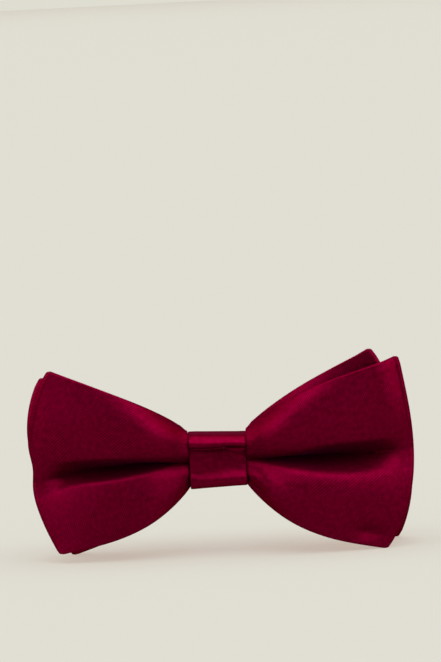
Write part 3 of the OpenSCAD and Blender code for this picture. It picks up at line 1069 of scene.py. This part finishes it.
def metal_material(name, dark, light):
    """Nickel plate on wire, with drawing lines and faint tarnish."""
    material, tree, shader = new_material(name, 0.25, metallic=1.0)
    place = object_place(tree)
    cloud = noise_node(tree, place, 350, 4)
    color_from(tree, shader, cloud, [(0.3, dark), (0.7, light)])
    tree.links.new(weighted_node(tree, cloud, 0.2, 0.16), shader.inputs["Roughness"])
    bump_node(tree, shader, noise_node(tree, place, 5000, 2), WIRE_BUMP, 0.4)
    return material


def paper_material(name, diffuse, glow):
    """Paper that glows a little, as a lit table does, so shadows on it are faint."""
    material, _, shader = new_material(name, 0.9)
    set_inputs(shader, Base_Color=(*diffuse, 1), Specular_IOR_Level=0.0)
    set_inputs(shader, Emission_Color=(*glow, 1), Emission_Strength=1)
    return material


def dress(piece, material):
    piece.data.materials.clear()
    piece.data.materials.append(material)


def dress_nodes(material, *names):
    """Gives the CAD nodes that are kept a finished material."""
    for name in names:
        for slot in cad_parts[name].material_slots:
            slot.material = material


SATIN_COLORS = ((0.064, 0.0, 0.0062), (0.115, 0.0, 0.0135), (0.18, 0.0, 0.0235))
LINING_COLORS = ((0.62, 0.6, 0.55), (0.84, 0.82, 0.76))
THREAD_COLORS = ((0.07, 0.0, 0.01), (0.2, 0.005, 0.035))
NICKEL_COLORS = ((0.52, 0.50, 0.46), (0.74, 0.72, 0.68))
SATIN = satin_material("burgundy_satin", *SATIN_COLORS)
# The knot's wrap is cut so that its twill hardly shows.
KNOT_SATIN = satin_material("burgundy_satin_smooth", *SATIN_COLORS, twill=0.06)
LINING = woven_material("interlining", *LINING_COLORS)
THREAD = thread_material("burgundy_thread", *THREAD_COLORS)
NICKEL = metal_material("nickel_wire", *NICKEL_COLORS)

for piece in (front_satin, back_satin, neckband_satin, adjuster_strap):
    dress(piece, SATIN)
dress(knot_satin, KNOT_SATIN)
for piece in (front_lining, back_lining, knot_lining, neckband_lining):
    dress(piece, LINING)
dress_nodes(THREAD, "waist_binding_thread", "knot_closing_stitches")
dress_nodes(THREAD, "hook_bartack", "slider_bartack")
dress_nodes(NICKEL, "slider_frame", "eye_ring", "hook")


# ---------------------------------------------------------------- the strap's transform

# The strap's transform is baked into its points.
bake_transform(adjuster_strap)

# ---------------------------------------------------------------- stage

FLOOR_REACH = 5
FLOOR_DIFFUSE = (0.106, 0.147, 0.141)
FLOOR_GLOW = (0.53, 0.43, 0.37)
# The backdrop stands here, from just under the floor, and closes the view at this angle.
BACKDROP_REACH = 4.5
BACKDROP_FOOT = -0.01
BACKDROP_RISE = math.radians(9)
BACKDROP_SIDES = 96
BACKDROP_GLOW = (0.737, 0.723, 0.638)
# The dome's light from overhead, from each side and from everywhere.
DOME_TOP = 2.56
DOME_SIDES = 4.2
DOME_BASE = 0.08
DOME_COLOR = (1.0, 0.985, 0.95, 1)


def add_paper(name, points, faces, diffuse, glow):
    """A stage object of paper, from points in metres."""
    mesh = bpy.data.meshes.new(name)
    mesh.from_pydata(points, [], faces)
    mesh.materials.append(paper_material(name + "_paper", diffuse, glow))
    paper = bpy.data.objects.new(name, mesh)
    bpy.context.scene.collection.objects.link(paper)
    return paper


def make_floor():
    r = FLOOR_REACH
    corners = [(-r, -r, 0), (r, -r, 0), (r, r, 0), (-r, r, 0)]
    floor = add_paper("floor", corners, [(0, 1, 2, 3)], FLOOR_DIFFUSE, FLOOR_GLOW)


def make_backdrop():
    """A low pale wall round the floor, so level views end in paper and not in the dark."""
    r = BACKDROP_REACH
    height = r * math.tan(BACKDROP_RISE)
    points = []
    for k in range(BACKDROP_SIDES):
        a = 2 * math.pi * k / BACKDROP_SIDES
        points += [(r * math.cos(a), r * math.sin(a), z) for z in (BACKDROP_FOOT, height)]
    count = len(points)
    faces = [(j, (j + 2) % count, (j + 3) % count, j + 1) for j in range(0, count, 2)]
    backdrop = add_paper("backdrop", points, faces, (0, 0, 0), BACKDROP_GLOW)


def make_sun(name, azimuth, elevation, strength, spread):
    data = bpy.data.lights.new(name, "SUN")
    data.energy = strength
    data.angle = math.radians(spread)
    sun = bpy.data.objects.new(name, data)
    a, e = math.radians(azimuth), math.radians(elevation)
    towards = Vector((math.sin(a) * math.cos(e), -math.cos(a) * math.cos(e), math.sin(e)))
    sun.rotation_euler = towards.to_track_quat("Z", "Y").to_euler()
    bpy.context.scene.collection.objects.link(sun)


def make_world():
    """A dome that is bright overhead, dimmer at the sides, and dim in front and behind."""
    world = bpy.data.worlds.new("studio")
    world.use_nodes = True
    tree = world.node_tree
    back = tree.nodes["Background"]
    place = tree.nodes.new("ShaderNodeTexCoord")
    axes = split_node(tree, place.outputs["Generated"])
    up = math_node(tree, "MAXIMUM", axes[2], 0.0)
    overhead = math_node(tree, "MULTIPLY", math_node(tree, "POWER", up, 3.0), DOME_TOP)
    wide = math_node(tree, "ABSOLUTE", axes[0])
    sides = math_node(tree, "MULTIPLY", math_node(tree, "POWER", wide, 4.0), DOME_SIDES)
    glow = math_node(tree, "ADD", math_node(tree, "ADD", overhead, sides), DOME_BASE)
    tree.links.new(glow, back.inputs[1])
    back.inputs[0].default_value = DOME_COLOR
    bpy.context.scene.world = world


make_floor()
make_backdrop()
make_world()
make_sun("top_light", 0, 78, 1.3, 60)
make_sun("left_light", -65, 22, 0.3, 50)
make_sun("right_light", 65, 22, 0.5, 50)
bpy.context.scene.view_settings.view_transform = "Standard"

bpy.context.view_layer.update()
